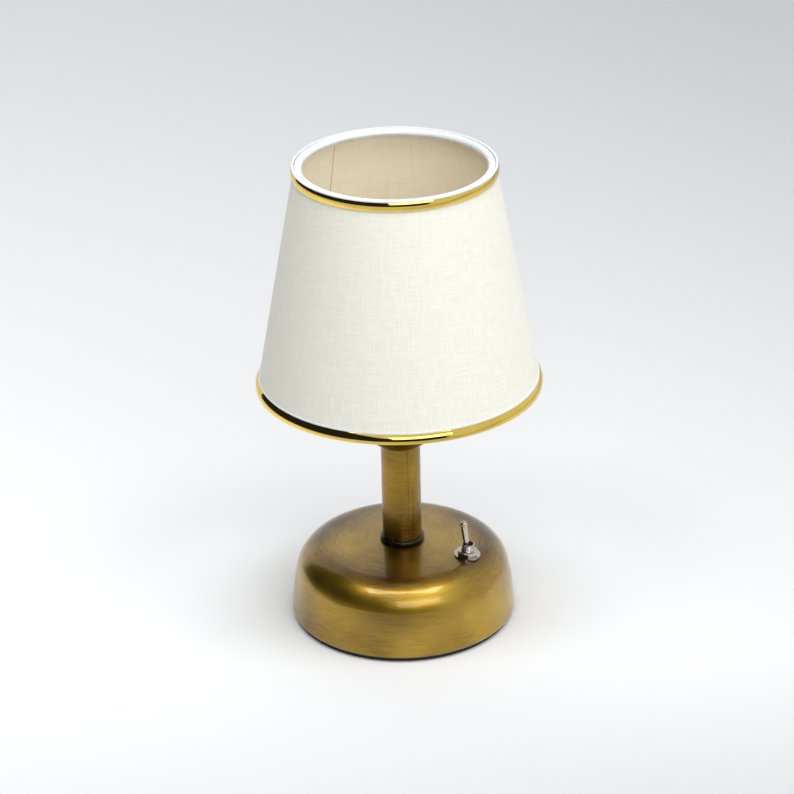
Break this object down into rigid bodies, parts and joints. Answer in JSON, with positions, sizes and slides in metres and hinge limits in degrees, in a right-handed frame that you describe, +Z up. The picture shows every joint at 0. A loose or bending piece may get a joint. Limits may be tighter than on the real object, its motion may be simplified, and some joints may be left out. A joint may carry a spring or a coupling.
{
  "type": "table lamp",
  "caption": "Small cordless table lamp: round brass base with a toggle switch, tube stem, flared cup, and a stiff cone shade with gilt edges over a small bulb.",
  "frame": {"origin": "centre of the circle on which the lamp stands, on the stem's axis", "axes": "+Z up along the stem; the picture looks along +Y from the front; the switch stands at the front right, 28 degrees below +X"},
  "size_m": [0.1296, 0.1296, 0.222],
  "materials": {
    "antique_brass": "antique brass with a brushed grain under a clear lacquer",
    "dark_bronze": "nearly black bronze under a clear lacquer",
    "black_plate": "satin black paint",
    "rubber_foot": "matt black",
    "steel": "zinc plated",
    "black_plastic": "moulded, satin",
    "cell_jacket": "printed film over a steel can, left plain",
    "contact_metal": "stamped strip",
    "holder_plastic": "moulded, satin",
    "ceramic": "glazed, off white",
    "bulb_metal": "plated, satin",
    "bulb_insulation": "black glass",
    "bulb_housing": "moulded, satin",
    "bulb_opal": "opal",
    "shade_fabric": "fine linen weave, cream",
    "shade_lining": "stiff film, warm cream",
    "white_trim": "moulded, gloss white",
    "gold_trim": "bright gilt",
    "carrier_wire": "white paint",
    "nickel": "bright nickel",
    "wire_red": "insulated wire",
    "wire_white": "insulated wire",
    "wire_black": "insulated wire"
  },
  "bodies": {
    "lamp": {"base_shell": "antique_brass", "stem_tube": "antique_brass", "cup": "antique_brass", "foot_ring": "dark_bronze", "base_plate": "black_plate", "base_pad": "rubber_foot", "cover_lugs": "steel", "cover_screws": "steel", "holder_screws": "steel", "threaded_rod": "steel", "rod_washer": "steel", "rod_nut": "steel", "cup_nut": "steel", "switch_frame": "steel", "terminal_screws": "steel", "battery_holder": "black_plastic", "switch_case": "black_plastic", "battery_cell_1": "cell_jacket", "battery_cell_2": "cell_jacket", "battery_cell_3": "cell_jacket", "battery_contacts": "contact_metal", "battery_leaf_springs": "contact_metal", "centre_contact": "contact_metal", "screw_shell": "contact_metal", "terminal_common": "contact_metal", "terminal_switched": "contact_metal", "holder_cap": "holder_plastic", "holder_skirt": "holder_plastic", "holder_insulator": "ceramic", "switch_washer": "nickel", "switch_nut_outer": "nickel", "switch_nut_inner": "nickel", "switch_bushing": "nickel", "wire_battery": "wire_red", "wire_lamp": "wire_white", "wire_return": "wire_black"},
    "shade": {"shade_fabric": "shade_fabric", "shade_lining": "shade_lining", "top_rim": "white_trim", "bottom_rim": "white_trim", "top_trim": "gold_trim", "bottom_trim": "gold_trim", "top_trim_edge": "white_trim", "bottom_trim_edge": "white_trim", "shade_carrier": "carrier_wire", "shade_ring": "holder_plastic"},
    "bulb": {"bulb_contact": "bulb_metal", "bulb_insulator": "bulb_insulation", "bulb_cap": "bulb_metal", "bulb_housing": "bulb_housing", "bulb_globe": "bulb_opal"},
    "lever": {"switch_lever": "nickel", "switch_plunger": "nickel"},
    "rocker": {"switch_rocker": "contact_metal"}
  },
  "joints": [
    {"name": "switch_lever", "type": "hinge", "parent": "lamp", "child": "lever", "pos_m": [0.0297, -0.01579, 0.03719], "axis": [0.4695, 0.8829, 0], "range_deg": [0, 25]},
    {"name": "switch_rocker", "type": "hinge", "parent": "lamp", "child": "rocker", "pos_m": [0.02903, -0.01543, 0.02817], "axis": [0.4695, 0.8829, 0], "range_deg": [-14, 0]},
    {"name": "bulb_lift", "type": "slide", "parent": "lamp", "child": "bulb", "axis": [0, 0, 1], "range_m": [0, 0.118]},
    {"name": "shade_lift", "type": "slide", "parent": "lamp", "child": "shade", "axis": [0, 0, 1], "range_m": [0, 0.06]}
  ],
  "couplings": [
    {"joint": "switch_rocker", "follows": "switch_lever", "ratio": -0.56}
  ]
}
